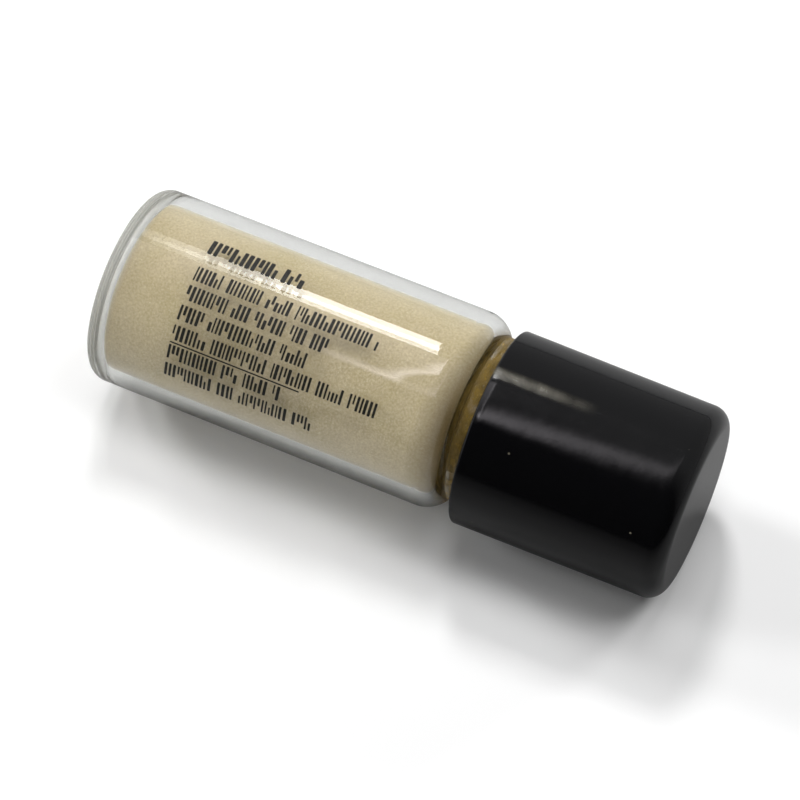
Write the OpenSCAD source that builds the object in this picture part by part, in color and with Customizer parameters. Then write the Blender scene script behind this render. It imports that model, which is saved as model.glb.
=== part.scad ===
// Small glass vial of pigment powder with a smooth black screw cap, lying on its side.
// The vial's axis is along +X: base at -X, cap at +X, and the table is the plane z = 0.
// Every sub-part is drawn upright on its axis, base down, and lay_down() puts it in place.

/* [Glass body] */
// Outside diameter of the glass body
body_d = 15; // [13:0.5:18]
// Length from the base to the top of the shoulder
body_h = 28.5; // [24:0.1:40]
// Thickness of the glass wall
wall_t = 1; // [0.8:0.05:1.3]
// Thickness of the glass base
base_t = 0.65; // [0.6:0.05:1.5]
// Outside radius where the wall turns into the base
base_corner_r = 1.1; // [1:0.1:2.5]
// Inside radius where the wall turns into the base
inner_corner_r = 1.2; // [0.6:0.1:2]
// Outside radius of the shoulder
shoulder_r = 2.3; // [2:0.1:3]
// Radius of the shallow dish under the base
dish_r = 4.6; // [3:0.1:5]
// Depth of the shallow dish under the base
dish_h = 0.15; // [0.1:0.05:0.3]

/* [Neck] */
// Outside diameter of the neck between the threads
neck_d = 11.3; // [11:0.1:11.5]
// Diameter of the smooth bead between the shoulder and the threads
bead_d = 12.56; // [12.4:0.02:12.6]
// Height of the bead above the shoulder
bead_h = 1.6; // [1:0.1:2]
// Height of the neck, from the shoulder to the lip
neck_h = 9.6; // [9:0.1:11]
// Diameter of the bore through the neck
bore_d = 8.8; // [8:0.1:9]

/* [Thread] */
// Outside diameter of the glass thread
thread_d = 12.5; // [12.4:0.02:12.6]
// Rise of the thread in one turn
pitch = 2.1; // [2:0.05:2.2]
// Turns of thread on the neck
neck_turns = 1.75; // [1.5:0.05:2]
// Turns of thread inside the cap
cap_turns = 1.5; // [1:0.05:1.6]

/* [Cap] */
// Outside diameter of the cap at its open rim
cap_rim_d = 14.82; // [14.7:0.02:15]
// Outside diameter that the tapered wall reaches at the closed end
cap_end_d = 14.6; // [14.4:0.02:14.7]
// Height of the cap
cap_h = 16.1; // [15.5:0.1:18]
// Gap between the shoulder and the cap's rim when the cap is closed
rim_gap = 0.75; // [0.5:0.05:1]
// Radius round the closed end
cap_edge_r = 1.4; // [1:0.05:2]
// Thickness of the cap's closed end
cap_end_t = 1.3; // [1:0.05:1.6]
// How far the loosely fitting cap hangs below the vial's axis
cap_sag = 0.08; // [0:0.01:0.08]
// How far the loosely fitting cap sits to the -Y side of the vial's axis
cap_side = 0.28; // [0:0.01:0.28]

/* [Liner] */
// Diameter of the sealing liner
liner_d = 13; // [12.6:0.05:13.1]
// Thickness of the liner's backing board
board_t = 0.9; // [0.6:0.05:1.2]
// Thickness of the facing film that meets the glass lip
film_t = 0.1; // [0.08:0.01:0.15]

/* [Powder] */
// Gap between the powder and the glass
powder_gap = 0.03; // [0.02:0.01:0.05]
// Highest point that the powder reaches in the neck, above the shoulder
powder_rise = 4; // [2:0.1:4.2]

/* [Hidden] */
$fn = 96;
eps = 0.01;
body_r = body_d / 2;
inner_r = body_r - wall_t;
inner_shoulder_r = shoulder_r - wall_t;
shoulder_z = body_h - shoulder_r;
shoulder_c = body_r - shoulder_r;
inner_top = body_h - wall_t;
dish_sphere_r = (dish_r * dish_r + dish_h * dish_h) / (2 * dish_h);
neck_r = neck_d / 2;
bead_r = bead_d / 2;
bore_r = bore_d / 2;
lip_z = body_h + neck_h;
bead_fillet_r = 0.35;
bead_edge_r = 0.3;
lip_edge_r = 0.4;
throat_r = 0.5;

// Thread: one bump swept up a helix, its height following a cosine across its width.
rings_per_turn = 40;
bump_points = 7;
fade_turn = 1 / 8;
sink = 0.2;
thread_clear = 0.37;
thread_depth = thread_d / 2 - neck_r;
neck_bump_w = 0.6;
cap_bump_w = 0.5;
neck_thread_z = body_h + bead_h + 1.4;
// The cap's thread hangs under the neck's thread by this much, just off its lower flank.
flank_drop = 0.8;
// Both threads start at this angle round the axis.
thread_start = 13;

// Cap, measured upwards from its own rim.
rim_z = body_h + rim_gap;
cap_rim_r = cap_rim_d / 2;
cap_end_r = cap_end_d / 2;
rim_edge_r = 0.2;
cap_root_r = thread_d / 2 + thread_clear;
mouth_lead = 0.12;
mouth_lead_h = 0.5;
pocket_r = 4.9;
seal_gap = 0.02;
ledge_z = lip_z + seal_gap + film_t + board_t + seal_gap - rim_z;

total_h = rim_z + cap_h;

// Lays an upright sub-part on its side, centred over the origin and touching z = 0.
module lay_down() {
    translate([-total_h / 2, 0, body_r])
        rotate([0, 90, 0])
            children();
}

// A rectangle from the axis outwards, between two heights.
module slab(r, z0, z1) {
    translate([0, z0])
        square([r, z1 - z0]);
}

// The disc that rounds a corner.
module round_at(x, z, r) {
    translate([x, z])
        circle(r);
}

// Body and shoulder of the glass, as a half outline from the axis.
module body_outline() {
    slab(body_r, base_corner_r, shoulder_z);
    slab(body_r - base_corner_r, 0, base_corner_r + eps);
    round_at(body_r - base_corner_r, base_corner_r, base_corner_r);
    slab(shoulder_c, shoulder_z - eps, body_h);
    round_at(shoulder_c, shoulder_z, shoulder_r);
}

// The hollow blend between the shoulder and the bead, tangent to both.
module bead_blend() {
    reach = shoulder_r + bead_fillet_r;
    out = bead_r + bead_fillet_r - shoulder_c;
    up = sqrt(reach * reach - out * out);
    touch = shoulder_r / reach;
    difference() {
        polygon([
            [bead_r - eps, shoulder_z],
            [shoulder_c + out * touch, shoulder_z + up * touch],
            [bead_r + bead_fillet_r, shoulder_z + up],
            [bead_r - eps, shoulder_z + up]
        ]);
        round_at(bead_r + bead_fillet_r, shoulder_z + up, bead_fillet_r);
    }
}

// Bead, plain neck and rounded lip, as a half outline from the axis.
module neck_outline() {
    bead_top = body_h + bead_h;
    slab(bead_r, shoulder_z, bead_top - bead_edge_r);
    slab(bead_r - bead_edge_r, shoulder_z, bead_top);
    round_at(bead_r - bead_edge_r, bead_top - bead_edge_r, bead_edge_r);
    slab(neck_r, shoulder_z, lip_z - lip_edge_r);
    slab(neck_r - lip_edge_r, shoulder_z, lip_z);
    round_at(neck_r - lip_edge_r, lip_z - lip_edge_r, lip_edge_r);
}

// The space inside the glass, drawn in by gap, from the base up to top_z in the bore.
module inside_outline(gap, top_z) {
    corner = inner_corner_r - gap;
    turn = inner_shoulder_r - gap;
    r = inner_r - gap;
    low = base_t + gap;
    high = inner_top - gap;
    slab(r, low + corner, high - turn);
    slab(r - corner, low, low + corner + eps);
    round_at(r - corner, low + corner, corner);
    slab(r - turn, high - turn - eps, high);
    round_at(r - turn, high - turn, turn);
    slab(bore_r - gap, low + corner, top_z);
    throat_outline(gap, high);
}

// The rounded way from the body into the bore.
module throat_outline(gap, high) {
    side = throat_r + gap;
    x = bore_r - gap;
    difference() {
        translate([x - eps, high - eps])
            square([side + eps, side + eps]);
        round_at(x + side, high + side, side);
    }
}

// The outer flare that rounds the lip's inner edge.
module lip_flare() {
    difference() {
        translate([bore_r - eps, lip_z - lip_edge_r])
            square([lip_edge_r + eps, lip_edge_r + eps]);
        round_at(bore_r + lip_edge_r, lip_z - lip_edge_r, lip_edge_r);
    }
}

// How far the bump stands out, from 0 at each end of the thread to 1 along its middle.
function fade(turn, turns) = min(1, turn / fade_turn, (turns - turn) / fade_turn);

// One ring of the bump: heights around z, radii from base_r towards base_r + rise.
function bump_ring(turn, z, base_r, rise, half_w, root) = [
    for (k = [0 : bump_points - 1])
        let (u = 2 * k / (bump_points - 1) - 1)
        let (r = base_r + root + (rise - root) * cos(90 * u))
        [r * cos(360 * turn), r * sin(360 * turn), z + u * half_w]
];

// A helical thread. rise is positive for a thread on a shaft and negative inside a sleeve.
module thread(base_r, rise, half_w, turns, z0) {
    steps = round(turns * rings_per_turn);
    root = -sign(rise) * sink;
    points = [
        for (i = [0 : steps])
            let (t = turns * i / steps)
            let (out = root + (rise - root) * max(0.1, fade(t, turns)))
            each bump_ring(t, z0 + pitch * t, base_r, out, half_w, root)
    ];
    n = bump_points;
    start_cap = [for (k = [0 : n - 1]) k];
    end_cap = [for (k = [n - 1 : -1 : 0]) steps * n + k];
    sides = [
        for (i = [0 : steps - 1], k = [0 : n - 1])
            let (a = i * n + k, b = i * n + (k + 1) % n)
            each [[a, a + n, b], [b, a + n, b + n]]
    ];
    faces = concat([start_cap], [end_cap], sides);
    polyhedron(points, rise < 0 ? faces : [for (f = faces) [for (k = [len(f) - 1 : -1 : 0]) f[k]]]);
}

// Clear glass vial: body, shoulder, bead, threaded neck and rounded lip.
module glass_vial() {
    color([0.85, 0.88, 0.86, 0.35])
        lay_down()
            difference() {
                union() {
                    rotate_extrude() {
                        body_outline();
                        bead_blend();
                        neck_outline();
                    }
                    rotate([0, 0, thread_start])
                        thread(neck_r, thread_depth, neck_bump_w, neck_turns, neck_thread_z);
                }
                rotate_extrude()
                    inside_outline(0, lip_z + 1);
                rotate_extrude()
                    lip_flare();
                translate([0, 0, dish_h - dish_sphere_r])
                    sphere(dish_sphere_r);
            }
}

// Pearly gold pigment, which fills the body and stands in a slope inside the neck.
module pigment_fill() {
    slope_run = powder_rise - 0.4;
    slope = atan(bore_d / slope_run);
    color([0.78, 0.7, 0.5])
        lay_down()
            difference() {
                rotate_extrude()
                    inside_outline(powder_gap, lip_z - neck_h / 4);
                translate([-bore_r, 0, body_h + powder_rise - slope_run])
                    rotate([0, -(90 - slope), 0])
                        translate([-body_r, -body_r, 0])
                            cube([3 * body_r, body_d, neck_h * 2]);
            }
}

// Outside of the cap, from its own rim: a drafted wall with a rounded end and a softened rim.
module cap_outline() {
    edge_z = cap_h - cap_edge_r;
    polygon([
        [0, 0],
        [cap_rim_r - rim_edge_r, 0],
        [cap_rim_r, rim_edge_r],
        [cap_end_r, edge_z],
        [cap_end_r - cap_edge_r, cap_h],
        [0, cap_h]
    ]);
    round_at(cap_rim_r - rim_edge_r, rim_edge_r, rim_edge_r);
    round_at(cap_end_r - cap_edge_r, edge_z, cap_edge_r);
}

// Shifts the cap and its liner off the vial's axis by the play in the thread.
module off_axis() {
    translate([cap_sag, -cap_side, 0])
        children();
}

// Glossy black cap: one moulding with its own thread, a ledge for the liner and a hollow end.
module screw_cap() {
    color([0.05, 0.05, 0.055])
        lay_down()
            off_axis() {
                translate([0, 0, rim_z])
                    rotate_extrude()
                        difference() {
                            cap_outline();
                            cap_hollow();
                        }
                rotate([0, 0, thread_start])
                    thread(cap_root_r, -thread_depth, cap_bump_w, cap_turns, neck_thread_z - flank_drop);
            }
}

// Inside of the cap, from its own rim: a flared mouth, the threaded well and the end hollow.
module cap_hollow() {
    polygon([
        [0, -eps],
        [cap_root_r + mouth_lead, -eps],
        [cap_root_r, mouth_lead_h],
        [0, mouth_lead_h]
    ]);
    slab(cap_root_r, 0, ledge_z);
    slab(pocket_r, ledge_z - eps, cap_h - cap_end_t);
}

// Backing board of the liner, held against the cap's ledge.
module liner_board() {
    color([0.9, 0.89, 0.85])
        lay_down()
            off_axis()
                translate([0, 0, lip_z + seal_gap + film_t])
                    cylinder(d = liner_d, h = board_t);
}

// Facing film of the liner, which seals on the glass lip.
module liner_film() {
    color([0.96, 0.96, 0.95])
        lay_down()
            off_axis()
                translate([0, 0, lip_z + seal_gap])
                    cylinder(d = liner_d, h = film_t);
}

glass_vial();
pigment_fill();
screw_cap();
liner_board();
liner_film();
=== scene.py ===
"""A small glass vial of pearly gold pigment with a black screw cap, lying on a white table.

Lengths are in metres. The vial's axis runs along +X at the height of its body radius, and
a place on it is given by s, the distance from the glass base, and r, the distance from the axis.
"""
import math
import random

import bmesh
import bpy
from mathutils import Matrix, Vector


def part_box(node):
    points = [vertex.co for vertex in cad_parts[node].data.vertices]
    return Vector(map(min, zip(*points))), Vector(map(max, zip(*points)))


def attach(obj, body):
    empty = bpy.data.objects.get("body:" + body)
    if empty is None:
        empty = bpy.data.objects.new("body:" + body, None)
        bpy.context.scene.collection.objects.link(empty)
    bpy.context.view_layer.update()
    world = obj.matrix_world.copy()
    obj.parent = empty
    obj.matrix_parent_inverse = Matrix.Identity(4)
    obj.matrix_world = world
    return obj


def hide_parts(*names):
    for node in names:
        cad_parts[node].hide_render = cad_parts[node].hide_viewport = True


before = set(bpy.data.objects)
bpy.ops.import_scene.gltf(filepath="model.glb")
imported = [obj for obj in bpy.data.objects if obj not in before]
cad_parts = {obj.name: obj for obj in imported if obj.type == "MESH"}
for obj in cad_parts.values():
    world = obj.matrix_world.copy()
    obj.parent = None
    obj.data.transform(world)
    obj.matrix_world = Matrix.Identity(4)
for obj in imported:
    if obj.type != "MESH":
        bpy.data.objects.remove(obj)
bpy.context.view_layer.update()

scene = bpy.context.scene
MM = 0.001

# ---------------------------------------------------------------- sizes, as in the CAD part
glass_low, glass_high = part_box("glass_vial")
cap_low, cap_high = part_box("screw_cap")
board_low, board_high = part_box("liner_board")
film_low, film_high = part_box("liner_film")

BODY_R = (glass_high.y - glass_low.y) / 2
AXIS = Vector((0, 0, BODY_R))
CAP_AXIS = (cap_low + cap_high) / 2
BASE_X = glass_low.x
LIP_S = glass_high.x - BASE_X
CAP_H = cap_high.x - cap_low.x
RIM_S = cap_low.x - BASE_X
CAP_R = (cap_high.y - cap_low.y) / 2

WALL = 1.0 * MM
BASE_T = 0.65 * MM
BASE_CORNER = 1.1 * MM
INNER_CORNER = 1.2 * MM
SHOULDER_R = 2.3 * MM
NECK_H = 9.6 * MM
SHOULDER_S = LIP_S - NECK_H
DISH_R = 4.6 * MM
DISH_H = 0.15 * MM
NECK_R = 5.65 * MM
BEAD_R = 6.28 * MM
BEAD_H = 1.6 * MM
BORE_R = 4.4 * MM
THREAD_R = 6.25 * MM
PITCH = 2.1 * MM
NECK_TURNS = 1.75
CAP_TURNS = 1.5
NECK_BUMP = 0.6 * MM
CAP_BUMP = 0.5 * MM
THREAD_S = SHOULDER_S + BEAD_H + 1.4 * MM
FLANK_DROP = 0.8 * MM
THREAD_START = math.radians(13)
FADE_TURN = 1 / 8
SINK = 0.2 * MM
CAP_ROOT_R = THREAD_R + 0.37 * MM
CAP_END_R = CAP_R - 0.11 * MM
CAP_EDGE = 1.4 * MM
RIM_EDGE = 0.2 * MM
CAP_END_T = 1.3 * MM
POCKET_R = 4.9 * MM
LINER_GAP = 0.02 * MM
LEDGE_S = board_high.x - BASE_X + LINER_GAP - RIM_S
POWDER_GAP = 0.03 * MM
POWDER_RISE = 4.0 * MM
POWDER_LEAST = 0.4 * MM

SEGMENTS = 192
# Rows this close together carry a thread.
THREAD_STEP = 0.08 * MM
# Points closer than this are the same point.
SAME = 1e-7


# ---------------------------------------------------------------- mesh helpers
def line(start, end, step=0.5 * MM):
    """Points from start towards end, without end, close together so that shading stays even."""
    length = math.dist(start, end)
    count = max(1, round(length / step))
    return [tuple(a + (b - a) * i / count for a, b in zip(start, end)) for i in range(count)]


def arc(centre, radius, start, end, count=12):
    """Points on an arc in the (s, r) plane, both ends included. Angles are in degrees."""
    points = []
    for i in range(count + 1):
        angle = math.radians(start + (end - start) * i / count)
        points.append((centre[0] + radius * math.cos(angle), centre[1] + radius * math.sin(angle)))
    return points


def outline(*runs, step=0.5 * MM):
    """Joins runs of points with evenly divided straight lines."""
    points = []
    for run in runs:
        if points and math.dist(points[-1], run[0]) > SAME:
            points += line(points.pop(), run[0], step)
        elif points:
            points.pop()
        points += run
    return points


def new_object(name, verts, faces, smooth=True):
    """A mesh object with its faces turned outwards."""
    mesh = bpy.data.meshes.new(name)
    mesh.from_pydata(verts, [], faces)
    build = bmesh.new()
    build.from_mesh(mesh)
    bmesh.ops.recalc_face_normals(build, faces=build.faces)
    build.to_mesh(mesh)
    build.free()
    for polygon in mesh.polygons:
        polygon.use_smooth = smooth
    obj = bpy.data.objects.new(name, mesh)
    scene.collection.objects.link(obj)
    return obj


def lathe(name, profile, axis, start_s=0.0, reshape=None, segments=SEGMENTS):
    """Turns a profile of (s, r) points, with both ends on the axis, into a closed solid."""
    verts = []
    faces = []

    # The angle is measured from the bottom.
    def place(s, r, angle):
        return (BASE_X + start_s + s, axis.y + r * math.sin(angle), axis.z - r * math.cos(angle))

    inner = profile[1:-1]
    for s, r in inner:
        for k in range(segments):
            angle = 2 * math.pi * k / segments
            if reshape:
                ring_s, ring_r = reshape(s, r, angle)
            else:
                ring_s, ring_r = s, r
            verts.append(place(ring_s, ring_r, angle))
    for row in range(len(inner) - 1):
        for k in range(segments):
            near = row * segments + k
            side = row * segments + (k + 1) % segments
            faces.append((near, side, side + segments, near + segments))
    for s, row in ((profile[0][0], 0), (profile[-1][0], len(inner) - 1)):
        pole = len(verts)
        verts.append(place(s, 0, 0))
        for k in range(segments):
            faces.append((pole, row * segments + k, row * segments + (k + 1) % segments))
    return new_object(name, verts, faces)


def bump_height(s, angle, first_s, turns, half_width, depth):
    """How far a thread stands above its sunken root at this place, or 0 off the thread."""
    best = 0.0
    turn = ((angle - THREAD_START) / (2 * math.pi)) % 1.0
    while turn <= turns:
        u = (s - first_s - PITCH * turn) / half_width
        if abs(u) < 1:
            fade = min(1, turn / FADE_TURN, (turns - turn) / FADE_TURN)
            best = max(best, (depth + SINK) * fade * math.cos(math.pi / 2 * u))
        turn += 1
    return best


# ---------------------------------------------------------------- the glass
def inside_profile(gap, top_s):
    """The hollow of the vial drawn in by gap, from the bore at top_s down to the base's centre."""
    r = BODY_R - WALL - gap
    high = SHOULDER_S - WALL - gap
    low = BASE_T + gap
    turn = SHOULDER_R - WALL - gap
    corner = INNER_CORNER - gap
    bore = BORE_R - gap
    throat = 0.5 * MM + gap
    return outline(
        [(top_s, bore)],
        arc((high + throat, bore + throat), throat, 270, 180),
        arc((high - turn, r - turn), turn, 0, 90),
        arc((low + corner, r - corner), corner, 90, 180),
        [(low, 0)],
    )


def neck_shape(s, r, angle):
    """Raises the thread out of the plain part of the neck."""
    if abs(r - NECK_R) < SAME:
        height = bump_height(s, angle, THREAD_S, NECK_TURNS, NECK_BUMP, THREAD_R - NECK_R)
        r = max(r, NECK_R - SINK + height)
    return s, r


def glass_profile():
    """From the dish's centre out over the shoulder, bead, neck and lip, and down the inside."""
    lip = 0.4 * MM
    bead_edge = 0.3 * MM
    blend = 0.35 * MM
    dish_ball = (DISH_R ** 2 + DISH_H ** 2) / (2 * DISH_H)
    dish_angle = math.degrees(math.asin(DISH_R / dish_ball))
    shoulder = (SHOULDER_S - SHOULDER_R, BODY_R - SHOULDER_R)
    out = BEAD_R + blend - shoulder[1]
    up = math.sqrt((SHOULDER_R + blend) ** 2 - out ** 2)
    lean = math.degrees(math.atan2(out, up))
    bead_top = SHOULDER_S + BEAD_H
    outside = outline(
        arc((DISH_H - dish_ball, 0), dish_ball, 0, dish_angle),
        arc((BASE_CORNER, BODY_R - BASE_CORNER), BASE_CORNER, 180, 90),
        arc(shoulder, SHOULDER_R, 90, lean, 20),
        arc((shoulder[0] + up, BEAD_R + blend), blend, 180 + lean, 270, 8),
        arc((bead_top - bead_edge, BEAD_R - bead_edge), bead_edge, 90, 0, 8),
        step=0.3 * MM,
    )
    neck = outline(
        [(bead_top, NECK_R)],
        arc((LIP_S - lip, NECK_R - lip), lip, 90, 0),
        arc((LIP_S - lip, BORE_R + lip), lip, 0, -90),
        step=THREAD_STEP,
    )
    below_lip = LIP_S - lip - 0.1 * MM
    return outline(outside, neck, inside_profile(0, below_lip), step=0.3 * MM)


def make_glass():
    glass = lathe("glass", glass_profile(), AXIS, reshape=neck_shape)
    glass.data.materials.append(glass_material())
    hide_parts("glass_vial")
    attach(glass, "vial")


# ---------------------------------------------------------------- the powder
def powder_shape(s, r, angle):
    """Slopes the powder's free face, which reaches furthest along the lower side of the bore."""
    neck_start = SHOULDER_S - WALL
    if s > neck_start:
        lowness = (1 + math.cos(angle) * r / BORE_R) / 2
        reach = SHOULDER_S + POWDER_LEAST + (POWDER_RISE - POWDER_LEAST) * lowness
        full = SHOULDER_S + POWDER_RISE
        s = neck_start + (s - neck_start) * (reach - neck_start) / (full - neck_start)
    return s, r


def make_powder():
    full = SHOULDER_S + POWDER_RISE
    profile = outline([(full, 0)], inside_profile(POWDER_GAP, full), step=0.25 * MM)
    powder = lathe("powder", profile, AXIS, reshape=powder_shape)
    powder.data.materials.append(powder_material())
    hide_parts("pigment_fill")
    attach(powder, "vial")


# ---------------------------------------------------------------- the cap
def cap_profile():
    """From the end's centre round the outside to the rim, up the well and out over the pocket."""
    edge_s = CAP_H - CAP_EDGE
    mouth_edge = 0.06 * MM
    mouth_flare = 0.18 * MM
    flare_s = 0.5 * MM
    pocket_edge = 0.4 * MM
    pocket_s = CAP_H - CAP_END_T
    outside = outline(
        [(CAP_H, 0)],
        arc((edge_s, CAP_END_R - CAP_EDGE), CAP_EDGE, 0, 90, 16),
        arc((RIM_EDGE, CAP_R - RIM_EDGE), RIM_EDGE, 90, 180, 8),
    )
    inside = outline(
        arc((mouth_edge, CAP_ROOT_R + mouth_flare), mouth_edge, 180, 270, 4),
        [(flare_s, CAP_ROOT_R)],
        [(LEDGE_S, CAP_ROOT_R)],
        step=THREAD_STEP,
    )
    end = outline(
        [(LEDGE_S, POCKET_R)],
        arc((pocket_s - pocket_edge, POCKET_R - pocket_edge), pocket_edge, 90, 0, 8),
        [(pocket_s, 0)],
    )
    return outline(outside, inside, end)


def cap_shape(s, r, angle):
    """Cuts the thread into the cap's well: it stands inwards from the well's wall."""
    if abs(r - CAP_ROOT_R) < SAME:
        first = THREAD_S - FLANK_DROP - RIM_S
        height = bump_height(s, angle, first, CAP_TURNS, CAP_BUMP, THREAD_R - NECK_R)
        r = min(r, CAP_ROOT_R + SINK - height)
    return s, r


def make_cap():
    cap = lathe("cap", cap_profile(), CAP_AXIS, start_s=RIM_S, reshape=cap_shape)
    cap.data.materials.append(cap_material())
    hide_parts("screw_cap")
    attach(cap, "cap")


# ---------------------------------------------------------------- the liner
def disc_profile(low, high, edge):
    """A disc with softened edges, between the s of its two faces."""
    thick = high.x - low.x
    radius = (high.y - low.y) / 2
    return outline(
        [(0, 0)],
        arc((edge, radius - edge), edge, 180, 90, 5),
        arc((thick - edge, radius - edge), edge, 90, 0, 5),
        [(thick, 0)],
    )


def make_liner():
    board = lathe("liner_backing", disc_profile(board_low, board_high, 0.12 * MM), CAP_AXIS,
                  start_s=board_low.x - BASE_X)
    board.data.materials.append(board_material())
    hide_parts("liner_board")
    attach(board, "liner")
    film = lathe("liner_facing", disc_profile(film_low, film_high, 0.03 * MM), CAP_AXIS,
                 start_s=film_low.x - BASE_X)
    film.data.materials.append(film_material())
    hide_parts("liner_film")
    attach(film, "liner")


# ---------------------------------------------------------------- the screen print
PRINT_LEFT = 6.6 * MM
PRINT_TOP = 97.5
LINE_DEGREES = 11.6
TITLE_GAP = 18.5
MARK_H = 1.12 * MM
TITLE_H = 1.3 * MM
TITLE_BOLD = 1.5
SHORT_MARK = 0.62
MARK_W = (0.12 * MM, 0.24 * MM)
MARK_GAP = (0.11 * MM, 0.17 * MM)
FIRST_WORD = (6, 14)
LATER_WORD = (4, 18)
WORD_GAP = 0.36 * MM
INK = 0.018 * MM
INK_SINK = 0.005 * MM
LINE_LENGTHS = (7.5, 14.5, 11.0, 10.0, 16.0, 9.0, 11.5)
RULED_LINE = 4
RULE_LENGTH = 10.2 * MM
RULE_DROP = 0.27 * MM
RULE_H = 0.1 * MM


def on_body(s, arc_length, lift):
    """A point over the glass: arc_length is measured up round the body from the front horizon."""
    angle = arc_length / BODY_R
    r = BODY_R + lift
    return (BASE_X + s, AXIS.y - r * math.cos(angle), AXIS.z + r * math.sin(angle))


def add_block(verts, faces, left, low, width, height):
    """Adds an upright block of ink with blunt corners, which follows the curve of the glass."""
    corner = min(width, height) * 0.22
    blunt = 0.3 * corner
    lower = [(0.0, corner), (blunt, blunt), (corner, 0.0)]
    upper = [(height - up, inset) for up, inset in reversed(lower)]
    rows = lower + [(height / 2, 0.0)] + upper
    first = len(verts)
    for up, inset in rows:
        for lift in (-INK_SINK, INK):
            verts.append(on_body(left + inset, low + up, lift))
            verts.append(on_body(left + width - inset, low + up, lift))
    for row in range(len(rows) - 1):
        a = first + row * 4
        b = a + 4
        faces.append((a + 2, a + 3, b + 3, b + 2))
        faces.append((a + 1, a, b, b + 1))
        faces.append((a, a + 2, b + 2, b))
        faces.append((a + 3, a + 1, b + 1, b + 3))
    last = first + (len(rows) - 1) * 4
    faces.append((first, first + 1, first + 3, first + 2))
    faces.append((last + 1, last, last + 2, last + 3))


def make_print():
    """Seven lines of plain upright ink marks, which stand for the small print without any letters."""
    draw = random.Random(11)
    verts = []
    faces = []
    for number, length in enumerate(LINE_LENGTHS):
        down = 0 if number == 0 else TITLE_GAP + LINE_DEGREES * (number - 1)
        tall, bold = (TITLE_H, TITLE_BOLD) if number == 0 else (MARK_H, 1.0)
        low = math.radians(PRINT_TOP - down) * BODY_R - tall / 2
        s = PRINT_LEFT
        marks_left = draw.randint(*FIRST_WORD)
        while s < PRINT_LEFT + length * MM:
            width = draw.uniform(*MARK_W) * bold
            height = tall * draw.choice((SHORT_MARK, 1.0, 1.0, 1.0))
            lift = draw.choice((0, tall - height))
            add_block(verts, faces, s, low + lift, width, height)
            s += width + draw.uniform(*MARK_GAP)
            marks_left -= 1
            if marks_left == 0:
                s += WORD_GAP
                marks_left = draw.randint(*LATER_WORD)
        if number == RULED_LINE:
            add_block(verts, faces, PRINT_LEFT, low - RULE_DROP, RULE_LENGTH, RULE_H)
    ink = new_object("screen_print", verts, faces, smooth=False)
    ink.data.materials.append(ink_material())
    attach(ink, "vial")


# ---------------------------------------------------------------- materials
def node_material(name):
    """A material with an empty node tree, and its output node."""
    material = bpy.data.materials.new(name)
    material.use_nodes = True
    tree = material.node_tree
    tree.nodes.clear()
    output = tree.nodes.new("ShaderNodeOutputMaterial")
    return material, tree, output


def surface(tree, output, **settings):
    """A Principled shader joined to the output."""
    shader = tree.nodes.new("ShaderNodeBsdfPrincipled")
    for key, value in settings.items():
        shader.inputs[key.replace("_", " ")].default_value = value
    tree.links.new(shader.outputs["BSDF"], output.inputs["Surface"])
    return shader


def object_space(tree, scale=(1, 1, 1), rotation=(0, 0, 0)):
    """Object coordinates in metres, turned and scaled."""
    place = tree.nodes.new("ShaderNodeTexCoord")
    mapping = tree.nodes.new("ShaderNodeMapping")
    mapping.inputs["Scale"].default_value = scale
    mapping.inputs["Rotation"].default_value = rotation
    tree.links.new(place.outputs["Object"], mapping.inputs["Vector"])
    return mapping.outputs["Vector"]


def noise_of(tree, vector, scale, detail=3.0, roughness=0.5, distortion=0.0):
    """A grey noise output at so many cycles a metre."""
    node = tree.nodes.new("ShaderNodeTexNoise")
    node.inputs["Scale"].default_value = scale
    node.inputs["Detail"].default_value = detail
    node.inputs["Roughness"].default_value = roughness
    node.inputs["Distortion"].default_value = distortion
    tree.links.new(vector, node.inputs["Vector"])
    return node.outputs["Fac"]


def ramp(tree, source, stops):
    """A colour ramp: stops are (position, (r, g, b)) pairs."""
    node = tree.nodes.new("ShaderNodeValToRGB")
    elements = node.color_ramp.elements
    while len(elements) < len(stops):
        elements.new(0.5)
    for element, (position, colour) in zip(elements, stops):
        element.position = position
        element.color = (*colour, 1)
    tree.links.new(source, node.inputs["Fac"])
    return node.outputs["Color"]


def grey(tree, source, low, high, from_low=0.0, from_high=1.0):
    """Maps a value from one range to another and clamps it."""
    node = tree.nodes.new("ShaderNodeMapRange")
    node.inputs["From Min"].default_value = from_low
    node.inputs["From Max"].default_value = from_high
    node.inputs["To Min"].default_value = low
    node.inputs["To Max"].default_value = high
    tree.links.new(source, node.inputs["Value"])
    return node.outputs["Result"]


def maths(tree, operation, first, second=0.0):
    """A Math node of one or two values, each a socket or a number."""
    node = tree.nodes.new("ShaderNodeMath")
    node.operation = operation
    for socket, value in zip(node.inputs, (first, second)):
        if isinstance(value, (int, float)):
            socket.default_value = value
        else:
            tree.links.new(value, socket)
    return node.outputs["Value"]


def times(tree, product, *factors):
    """The product of several values."""
    for factor in factors:
        product = maths(tree, "MULTIPLY", product, factor)
    return product


def smooth_least(tree, first, second, rounding=1.0):
    """The smaller of two values, with a rounded changeover."""
    node = tree.nodes.new("ShaderNodeMath")
    node.operation = "SMOOTH_MIN"
    tree.links.new(first, node.inputs[0])
    tree.links.new(second, node.inputs[1])
    node.inputs[2].default_value = rounding
    return node.outputs["Value"]


def mix_shaders(tree, factor, first, second):
    """A shader that goes from the first to the second as the factor goes from 0 to 1."""
    node = tree.nodes.new("ShaderNodeMixShader")
    for socket, source in zip(node.inputs, (factor, first, second)):
        tree.links.new(source, socket)
    return node.outputs["Shader"]


def split_place(tree, vector):
    """The X, Y and Z of a vector."""
    node = tree.nodes.new("ShaderNodeSeparateXYZ")
    tree.links.new(vector, node.inputs["Vector"])
    return node.outputs["X"], node.outputs["Y"], node.outputs["Z"]


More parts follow.
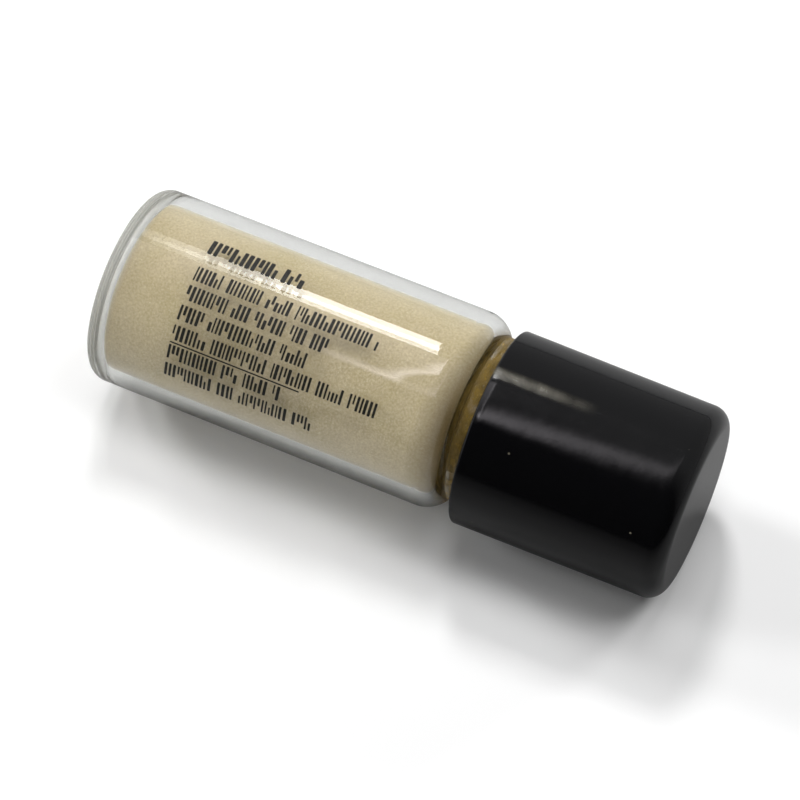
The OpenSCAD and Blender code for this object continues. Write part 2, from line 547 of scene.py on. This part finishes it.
def mix_colour(tree, factor, first, second):
    """A colour mix. first and second are sockets or (r, g, b) colours."""
    node = tree.nodes.new("ShaderNodeMix")
    node.data_type = "RGBA"
    if isinstance(factor, (int, float)):
        node.inputs[0].default_value = factor
    else:
        tree.links.new(factor, node.inputs[0])
    for socket, value in ((node.inputs[6], first), (node.inputs[7], second)):
        if isinstance(value, tuple):
            socket.default_value = (*value, 1)
        else:
            tree.links.new(value, socket)
    return node.outputs[2]


def light_path(tree):
    """Three values of 0 or 1: the ray sees this place by reflection, through glass or directly.

    The first two leave out rays that have bounced off a matt surface on the way.
    """
    path = tree.nodes.new("ShaderNodeLightPath")
    straight = grey(tree, path.outputs["Diffuse Depth"], 1, 0)
    through = path.outputs["Is Transmission Ray"]
    glossy = maths(tree, "SUBTRACT", path.outputs["Is Glossy Ray"], through)
    reflected = times(tree, maths(tree, "MAXIMUM", glossy, 0), straight)
    return reflected, times(tree, through, straight), path.outputs["Is Camera Ray"]


def bump_of(tree, height, distance, strength=1.0, below=None):
    """A bump output, on top of another bump if one is given."""
    node = tree.nodes.new("ShaderNodeBump")
    node.inputs["Distance"].default_value = distance
    node.inputs["Strength"].default_value = strength
    tree.links.new(height, node.inputs["Height"])
    if below:
        tree.links.new(below, node.inputs["Normal"])
    return node.outputs["Normal"]


def painted_base_light(tree, x, y, z):
    """How much pale grey is laid on the glass, in a ring round the corner of its base: painted light,
    standing in for light seen through the glass there.
    """
    strength = 0.35
    start, end = BASE_X + 0.9 * MM, BASE_X + 1.8 * MM
    inner, outer = 5.4 * MM, 6.5 * MM
    height = maths(tree, "SUBTRACT", z, BODY_R)
    square = maths(tree, "ADD", times(tree, height, height), times(tree, y, y))
    radius = maths(tree, "POWER", square, 0.5)
    return times(tree, grey(tree, x, strength, 0, start, end), grey(tree, radius, 0, 1, inner, outer))


def neck_dust_and_shade(tree, place, x):
    """How much dark brown is laid on the glass: painted shade of the groove under the cap's rim together
    with clinging pigment dust, in clumps from the bead on, and thinly along the neck.
    """
    bead_x = BASE_X + SHOULDER_S
    bead_end = bead_x + BEAD_H
    on_neck = 0.25
    clumps = grey(tree, noise_of(tree, place, 1500, detail=4.0), 0.3, 0.75, 0.35, 0.6)
    start = grey(tree, x, 0, 1, bead_x - 0.9 * MM, bead_x)
    return times(tree, start, clumps, grey(tree, x, 1, on_neck, bead_end, bead_end + 1 * MM))


def matt(tree, colour):
    """A plain diffuse shader."""
    node = tree.nodes.new("ShaderNodeBsdfDiffuse")
    node.inputs["Color"].default_value = (*colour, 1)
    return node.outputs["BSDF"]


def glass_material():
    """Clear soda glass, faintly wavy. It lets lamps through to the powder.

    Its base corner carries a pale grey of painted light, and the bead and the neck carry a dark brown
    that is painted shade together with clinging pigment dust.
    """
    material, tree, output = node_material("clear_glass")
    shader = surface(
        tree, output,
        Base_Color=(0.97, 0.985, 0.975, 1),
        Roughness=0.0,
        IOR=1.5,
        Transmission_Weight=1.0,
    )
    waves = noise_of(tree, object_space(tree, (0.35, 1, 1)), 300, detail=1.0)
    tree.links.new(bump_of(tree, waves, 0.0005 * MM), shader.inputs["Normal"])
    clear = tree.nodes.new("ShaderNodeBsdfTransparent")
    clear.inputs["Color"].default_value = (0.93, 0.94, 0.93, 1)
    shadow = tree.nodes.new("ShaderNodeLightPath").outputs["Is Shadow Ray"]
    glass = mix_shaders(tree, shadow, shader.outputs["BSDF"], clear.outputs["BSDF"])

    place = object_space(tree)
    x, y, z = split_place(tree, place)
    # Pale grey round the base corner: painted light seen through the glass.
    glass = mix_shaders(tree, painted_base_light(tree, x, y, z), glass, matt(tree, (0.62, 0.62, 0.57)))
    # Dark brown on the bead and the neck: painted shade, with some pigment dust.
    glass = mix_shaders(tree, neck_dust_and_shade(tree, place, x), glass, matt(tree, (0.2, 0.133, 0.035)))
    tree.links.new(glass, output.inputs["Surface"])
    return material


def powder_material():
    """Fine pearly pigment behind glass: cloudy, grainy, with mica flecks, and with painted shade round
    the shoulder and in the neck.
    """
    material, tree, output = node_material("gold_pigment")
    shader = surface(
        tree, output,
        Metallic=0.08,
        Diffuse_Roughness=1.0,
        Sheen_Weight=0.1,
        Sheen_Roughness=0.5,
    )
    shader.inputs["Sheen Tint"].default_value = (1, 0.93, 0.75, 1)
    place = object_space(tree)
    clouds = noise_of(tree, place, 220, detail=7.0, roughness=0.72)
    tone = ramp(tree, clouds, [
        (0.3, (0.595, 0.48, 0.255)),
        (0.5, (0.65, 0.53, 0.335)),
        (0.7, (0.70, 0.58, 0.405)),
    ])
    grain = noise_of(tree, place, 6500, detail=3.0)
    grained = mix_colour(tree, 0.36, tone, ramp(tree, grain, [
        (0.3, (0.38, 0.30, 0.15)),
        (0.7, (0.84, 0.76, 0.54)),
    ]))
    flakes = tree.nodes.new("ShaderNodeTexVoronoi")
    flakes.inputs["Scale"].default_value = 11000
    tree.links.new(place, flakes.inputs["Vector"])
    fleck = grey(tree, flakes.outputs["Color"], 0, 1, 0.8, 1.0)
    pearly = mix_colour(tree, times(tree, fleck, 0.4), grained, (0.95, 0.9, 0.72))
    # Painted shade: round the shoulder and in the neck the powder turns dark brown, for the shade that
    # falls there under the shoulder and the cap. The painted shade starts later towards the back.
    x, y, _ = split_place(tree, place)
    neck_x = BASE_X + SHOULDER_S - WALL
    behind = maths(tree, "MAXIMUM", maths(tree, "ADD", y, 3.5 * MM), 0)
    along = maths(tree, "SUBTRACT", x, times(tree, behind, 0.2))
    painted_shade = grey(tree, along, 0, 1, neck_x - SHOULDER_R, neck_x)
    # The dark brown here is painted shade.
    colour = mix_colour(tree, painted_shade, pearly, (0.2, 0.13, 0.045))
    tree.links.new(colour, shader.inputs["Base Color"])
    tree.links.new(grey(tree, fleck, 0.6, 0.3), shader.inputs["Roughness"])
    tree.links.new(bump_of(tree, grain, 0.03 * MM, 0.6), shader.inputs["Normal"])
    return material


def cap_material():
    """Glossy black moulding with orange peel, fine scuffs, specks of dust and a beige smear on top."""
    material, tree, output = node_material("black_cap")
    shader = surface(tree, output, IOR=1.5)
    place = object_space(tree)
    long_place = object_space(tree, (0.12, 1, 1), (0.15, 0.1, 0.2))
    scuffs = noise_of(tree, long_place, 4000, detail=4.0, roughness=0.7)
    smears = noise_of(tree, place, 260, detail=5.0, roughness=0.65, distortion=0.6)
    scuffed = grey(tree, scuffs, 0, 0.1, 0.6, 0.75)
    rough = maths(tree, "ADD", grey(tree, smears, 0.05, 0.13, 0.35, 0.7), scuffed)
    peel = noise_of(tree, place, 900, detail=2.0)
    lumps = bump_of(tree, peel, 0.004 * MM)
    tree.links.new(bump_of(tree, scuffs, 0.0015 * MM, 1.0, lumps), shader.inputs["Normal"])

    cells = tree.nodes.new("ShaderNodeTexVoronoi")
    cells.inputs["Scale"].default_value = 650
    tree.links.new(place, cells.inputs["Vector"])
    dot = grey(tree, cells.outputs["Distance"], 0.6, 0, 0.03, 0.07)
    chosen = grey(tree, cells.outputs["Color"], 0, 1, 0.72, 0.76)
    speck = times(tree, dot, chosen)

    # The smear is a patchy line along the top, strongest at the rim.
    x, y, z = split_place(tree, place)
    ridge = grey(tree, maths(tree, "ABSOLUTE", y), 1, 0, 0.1 * MM, 0.6 * MM)
    near_rim = grey(tree, x, 0.3, 0, cap_low.x + 2 * MM, cap_low.x + 8 * MM)
    on_top = grey(tree, z, 0, 1, 12 * MM, 14 * MM)
    patchy = grey(tree, smears, 0.2, 1, 0.35, 0.6)
    smear = times(tree, ridge, near_rim, on_top, patchy)
    dirt = maths(tree, "MAXIMUM", speck, smear)
    colour = mix_colour(tree, dirt, (0.0025, 0.0025, 0.003), (0.36, 0.33, 0.24))
    tree.links.new(colour, shader.inputs["Base Color"])
    tree.links.new(maths(tree, "ADD", rough, dirt), shader.inputs["Roughness"])
    return material


def board_material():
    """Off-white foamed board with fine open cells."""
    material, tree, output = node_material("liner_board")
    shader = surface(tree, output, Roughness=0.85)
    place = object_space(tree)
    cells = noise_of(tree, place, 5000, detail=2.0)
    tree.links.new(ramp(tree, cells, [(0.35, (0.6, 0.58, 0.53)), (0.6, (0.82, 0.8, 0.75))]),
                   shader.inputs["Base Color"])
    tree.links.new(bump_of(tree, cells, 0.03 * MM), shader.inputs["Normal"])
    return material


def film_material():
    """White facing film with a dusting of pigment."""
    material, tree, output = node_material("liner_film")
    shader = surface(tree, output, Roughness=0.35)
    place = object_space(tree)
    dust = noise_of(tree, place, 2500, detail=4.0, roughness=0.7)
    tree.links.new(ramp(tree, dust, [(0.5, (0.85, 0.85, 0.83)), (0.72, (0.62, 0.53, 0.34))]),
                   shader.inputs["Base Color"])
    tree.links.new(bump_of(tree, dust, 0.01 * MM), shader.inputs["Normal"])
    return material


def ink_material():
    """Black screen-print ink, slightly uneven."""
    material, tree, output = node_material("print_ink")
    shader = surface(tree, output, Roughness=0.45)
    place = object_space(tree)
    patches = noise_of(tree, place, 6000, detail=3.0)
    tree.links.new(ramp(tree, patches, [(0.35, (0.006, 0.006, 0.006)), (0.7, (0.03, 0.028, 0.025))]),
                   shader.inputs["Base Color"])
    tree.links.new(grey(tree, patches, 0.3, 0.6), shader.inputs["Roughness"])
    return material


# ---------------------------------------------------------------- the studio
AZIMUTH = 24.6
ELEVATION = 59.2
LENS = 157.5
# The glass base's centre is this far left of and above the middle of the view, and this deep.
BASE_LEFT = 20.01 * MM
BASE_UP = 8.79 * MM
BASE_DEPTH = 258.6 * MM

WINDOW_AROUND = 120.5
WINDOW_DISTANCE = 0.4
WINDOW_W = 0.073

CARD_HEIGHT = 0.5
CARD_X = (-0.3, 0.1)
CARD_Y = (-0.3, 0.18)


def make_floor():
    """A white table. It shows dimmer in reflections and through glass, as under a hooded lens."""
    bpy.ops.mesh.primitive_plane_add(size=3)
    floor = bpy.context.object
    floor.name = "floor"
    material, tree, output = node_material("floor")
    shader = surface(tree, output, Roughness=0.9)
    place = object_space(tree)
    y = split_place(tree, place)[1]
    # In reflections it is darker in front of the vial than behind it, and darker far away. The
    # change from near to far is even on a scale of powers of ten, from 1 cm to 25 cm away.
    near = grey(tree, y, 0.22, 0.38, -0.05, 0.05)
    far = grey(tree, y, 0.015, 0.27, -0.05, 0.05)
    distance = tree.nodes.new("ShaderNodeVectorMath")
    distance.operation = "LENGTH"
    tree.links.new(place, distance.inputs[0])
    power_of_ten = maths(tree, "LOGARITHM", distance.outputs["Value"], 10)
    dim = mix_colour(tree, grey(tree, power_of_ten, 0, 1, -2.0, -0.6), near, far)
    reflected, through, _ = light_path(tree)
    shown = mix_colour(tree, reflected, (0.93, 0.93, 0.93), dim)
    tree.links.new(mix_colour(tree, through, shown, (0.6, 0.6, 0.59)), shader.inputs["Base Color"])
    floor.data.materials.append(material)


def lamp(name, around, along, distance, width, length, power):
    """A rectangular lamp aimed at the vial.

    around is its angle round the vial's axis from the front horizon, along its place beside
    the axis, width its size across the axis and length its size along it.
    """
    angle = math.radians(around)
    reach = math.sqrt(distance ** 2 - along ** 2)
    data = bpy.data.lights.new(name, "AREA")
    data.shape = "RECTANGLE"
    data.size = length
    data.size_y = width
    data.energy = power
    obj = bpy.data.objects.new(name, data)
    obj.location = AXIS + Vector((along, -reach * math.cos(angle), reach * math.sin(angle)))
    obj.rotation_euler = (AXIS - obj.location).to_track_quat("-Z", "Y").to_euler()
    scene.collection.objects.link(obj)
    return obj


def soft_lamp(name, **place):
    """A lamp that lights the scene and doesn't show as a reflection."""
    obj = lamp(name, **place)
    obj.visible_glossy = False
    obj.visible_transmission = False


def shown_lamp(name, along, length, glow):
    """A bright card that shows in glossy surfaces, in line with the vial, and lights nothing."""
    power = glow * WINDOW_W * length
    obj = lamp(name, WINDOW_AROUND, along, WINDOW_DISTANCE, WINDOW_W, length, power)
    beam = (obj.location - AXIS).normalized()
    beside = beam.cross(Vector((1, 0, 0))).normalized()
    obj.rotation_euler = Matrix((beside.cross(beam), beside, beam)).transposed().to_euler()
    obj.visible_diffuse = False


def make_window():
    """A bright window behind the vial, which fades out in narrow steps towards its left end."""
    full = 40.2
    dim = 6
    right = -0.0799
    fade_start = -0.105
    steps = 8
    step = 0.00385
    # The cards face the vial, so each has to be a little longer than its step for edges to meet.
    stretch = 1.03
    shown_lamp("window", (right + fade_start) / 2, stretch * (right - fade_start), full)
    for i in range(steps):
        share = 1 - (i + 0.5) / steps
        along = fade_start - (i + 0.5) * step
        shown_lamp(f"window_{i}", along, stretch * step, dim + (full - dim) * share ** 1.5)


def make_lights():
    soft_lamp("key", around=121, along=-0.092, distance=0.4, width=0.077, length=0.062, power=0.69)
    soft_lamp("left_back", around=108, along=-0.48, distance=0.6, width=0.14, length=0.14, power=1.41)
    soft_lamp("left_front", around=62, along=-0.48, distance=0.6, width=0.3, length=0.14, power=0.97)
    soft_lamp("top", around=95, along=0.0, distance=0.6, width=0.3, length=0.14, power=0.78)
    soft_lamp("right_top", around=97, along=0.25, distance=0.6, width=0.25, length=0.14, power=0.78)
    soft_lamp("right_back", around=152, along=0.25, distance=0.6, width=0.14, length=0.14, power=1.04)


def panel_glow(tree, x, y):
    """A panel with a slightly leaning side edge, brighter to the back, and its bright rim.

    Depths are measured inwards from the side and front edges, each in its own rim's width.
    """
    side, lean, side_rim = -0.0995, 0.08, 0.0048
    front, front_rim = -0.235, 0.085
    edge = maths(tree, "ADD", times(tree, maths(tree, "MINIMUM", y, 0), lean), side)
    from_side = maths(tree, "DIVIDE", maths(tree, "SUBTRACT", edge, x), side_rim)
    from_front = maths(tree, "DIVIDE", maths(tree, "SUBTRACT", y, front), front_rim)
    inside = grey(tree, from_side, 0, 1, -0.2, 0.3)
    panel = times(tree, inside, grey(tree, y, 0.1, 1.3, -0.225, 0.18))
    depth = smooth_least(tree, from_side, from_front)
    rim = times(tree, grey(tree, depth, 0, 1, -0.1, 0.3), grey(tree, depth, 5.5, 0, 0.4, 1.1))
    faded = grey(tree, x, 0, 1, -0.145, -0.117)
    return maths(tree, "ADD", panel, times(tree, rim, faded))


def streak_glow(tree, x, y):
    """A slanted streak with soft sides, which fades towards the back and ends at the front."""
    middle_x, middle_y, slope = -0.0575, -0.07, 0.3
    half_width = 0.017
    drift = times(tree, maths(tree, "SUBTRACT", y, middle_y), slope)
    off = maths(tree, "SUBTRACT", maths(tree, "SUBTRACT", x, middle_x), drift)
    off = maths(tree, "DIVIDE", off, half_width)
    streak = maths(tree, "POWER", 0.5, times(tree, off, off))
    fade = grey(tree, y, 2.2, 0.5, -0.16, 0.06)
    return times(tree, streak, fade, grey(tree, y, 0, 1, -0.27, -0.2))


def make_card():
    """A clear ceiling card with a dim panel and a streak beside it, for reflections only."""
    (left, right), (front, back) = CARD_X, CARD_Y
    height = AXIS.z + CARD_HEIGHT
    corners = [(left, front, height), (right, front, height), (right, back, height), (left, back, height)]
    card = new_object("ceiling_card", corners, [(0, 1, 2, 3)])
    for ray in ("camera", "diffuse", "transmission", "volume_scatter", "shadow"):
        setattr(card, "visible_" + ray, False)
    material, tree, output = node_material("ceiling_card")
    x, y, _ = split_place(tree, object_space(tree))
    glow = tree.nodes.new("ShaderNodeEmission")
    glow.inputs["Color"].default_value = (1.0, 0.95, 1.0, 1)
    strength = maths(tree, "ADD", panel_glow(tree, x, y), streak_glow(tree, x, y))
    tree.links.new(strength, glow.inputs["Strength"])
    clear = tree.nodes.new("ShaderNodeBsdfTransparent")
    both = tree.nodes.new("ShaderNodeAddShader")
    tree.links.new(glow.outputs["Emission"], both.inputs[0])
    tree.links.new(clear.outputs["BSDF"], both.inputs[1])
    tree.links.new(both.outputs["Shader"], output.inputs["Surface"])
    card.data.materials.append(material)


def background(tree, strength):
    """A white background of this strength, which is a socket or a number."""
    node = tree.nodes.new("ShaderNodeBackground")
    node.inputs["Color"].default_value = (1, 1, 1, 1)
    if isinstance(strength, (int, float)):
        node.inputs["Strength"].default_value = strength
    else:
        tree.links.new(strength, node.inputs["Strength"])
    return node.outputs["Background"]


def make_world():
    """White behind the object for the eye, and for reflections a dim room, lighter at the back.

    As light it gives a faint fill, and more from the low front through the glass.
    """
    fill = 0.03
    world = bpy.data.worlds.new("studio")
    scene.world = world
    world.use_nodes = True
    tree = world.node_tree
    tree.nodes.clear()
    output = tree.nodes.new("ShaderNodeOutputWorld")
    place = tree.nodes.new("ShaderNodeTexCoord")
    x, y, _ = split_place(tree, place.outputs["Generated"])

    back = grey(tree, y, 0.012, 0.28, -0.35, 0.2)
    left = grey(tree, x, 0.7, 0.0, -0.9, -0.35)
    room = background(tree, maths(tree, "ADD", back, left))
    through_glass = tree.nodes.new("ShaderNodeLightPath").outputs["Is Transmission Ray"]
    low_front = times(tree, grey(tree, y, 2.1, 0.05, -1, -0.7), through_glass)
    shown = background(tree, maths(tree, "MAXIMUM", low_front, fill))
    views = (room, background(tree, 0.65), background(tree, 1))
    for ray, view in zip(light_path(tree), views):
        shown = mix_shaders(tree, ray, shown, view)
    tree.links.new(shown, output.inputs["Surface"])


def make_camera():
    """The photograph's viewing angle."""
    data = bpy.data.cameras.new("camera")
    data.lens = LENS
    data.sensor_width = 36
    data.clip_start = 0.01
    data.clip_end = 10
    camera = bpy.data.objects.new("camera", data)
    scene.collection.objects.link(camera)
    turn = math.radians(AZIMUTH)
    rise = math.radians(ELEVATION)
    back = Vector((math.sin(turn) * math.cos(rise), -math.cos(turn) * math.cos(rise), math.sin(rise)))
    right = Vector((math.cos(turn), math.sin(turn), 0))
    up = right.cross(-back)
    base = Vector((BASE_X, 0, AXIS.z))
    camera.location = base + BASE_LEFT * right - BASE_UP * up + BASE_DEPTH * back
    camera.rotation_euler = (-back).to_track_quat("-Z", "Y").to_euler()
    scene.camera = camera


def set_look():
    """Plain colours, and enough bounces for light inside the glass."""
    scene.view_settings.view_transform = "Standard"
    scene.cycles.use_denoising = True
    scene.cycles.max_bounces = 16
    scene.cycles.glossy_bounces = 12
    scene.cycles.transmission_bounces = 12
    scene.cycles.transparent_max_bounces = 12


set_look()
make_camera()
make_floor()
make_lights()
make_window()
make_card()
make_world()
make_glass()
make_powder()
make_cap()
make_liner()
make_print()
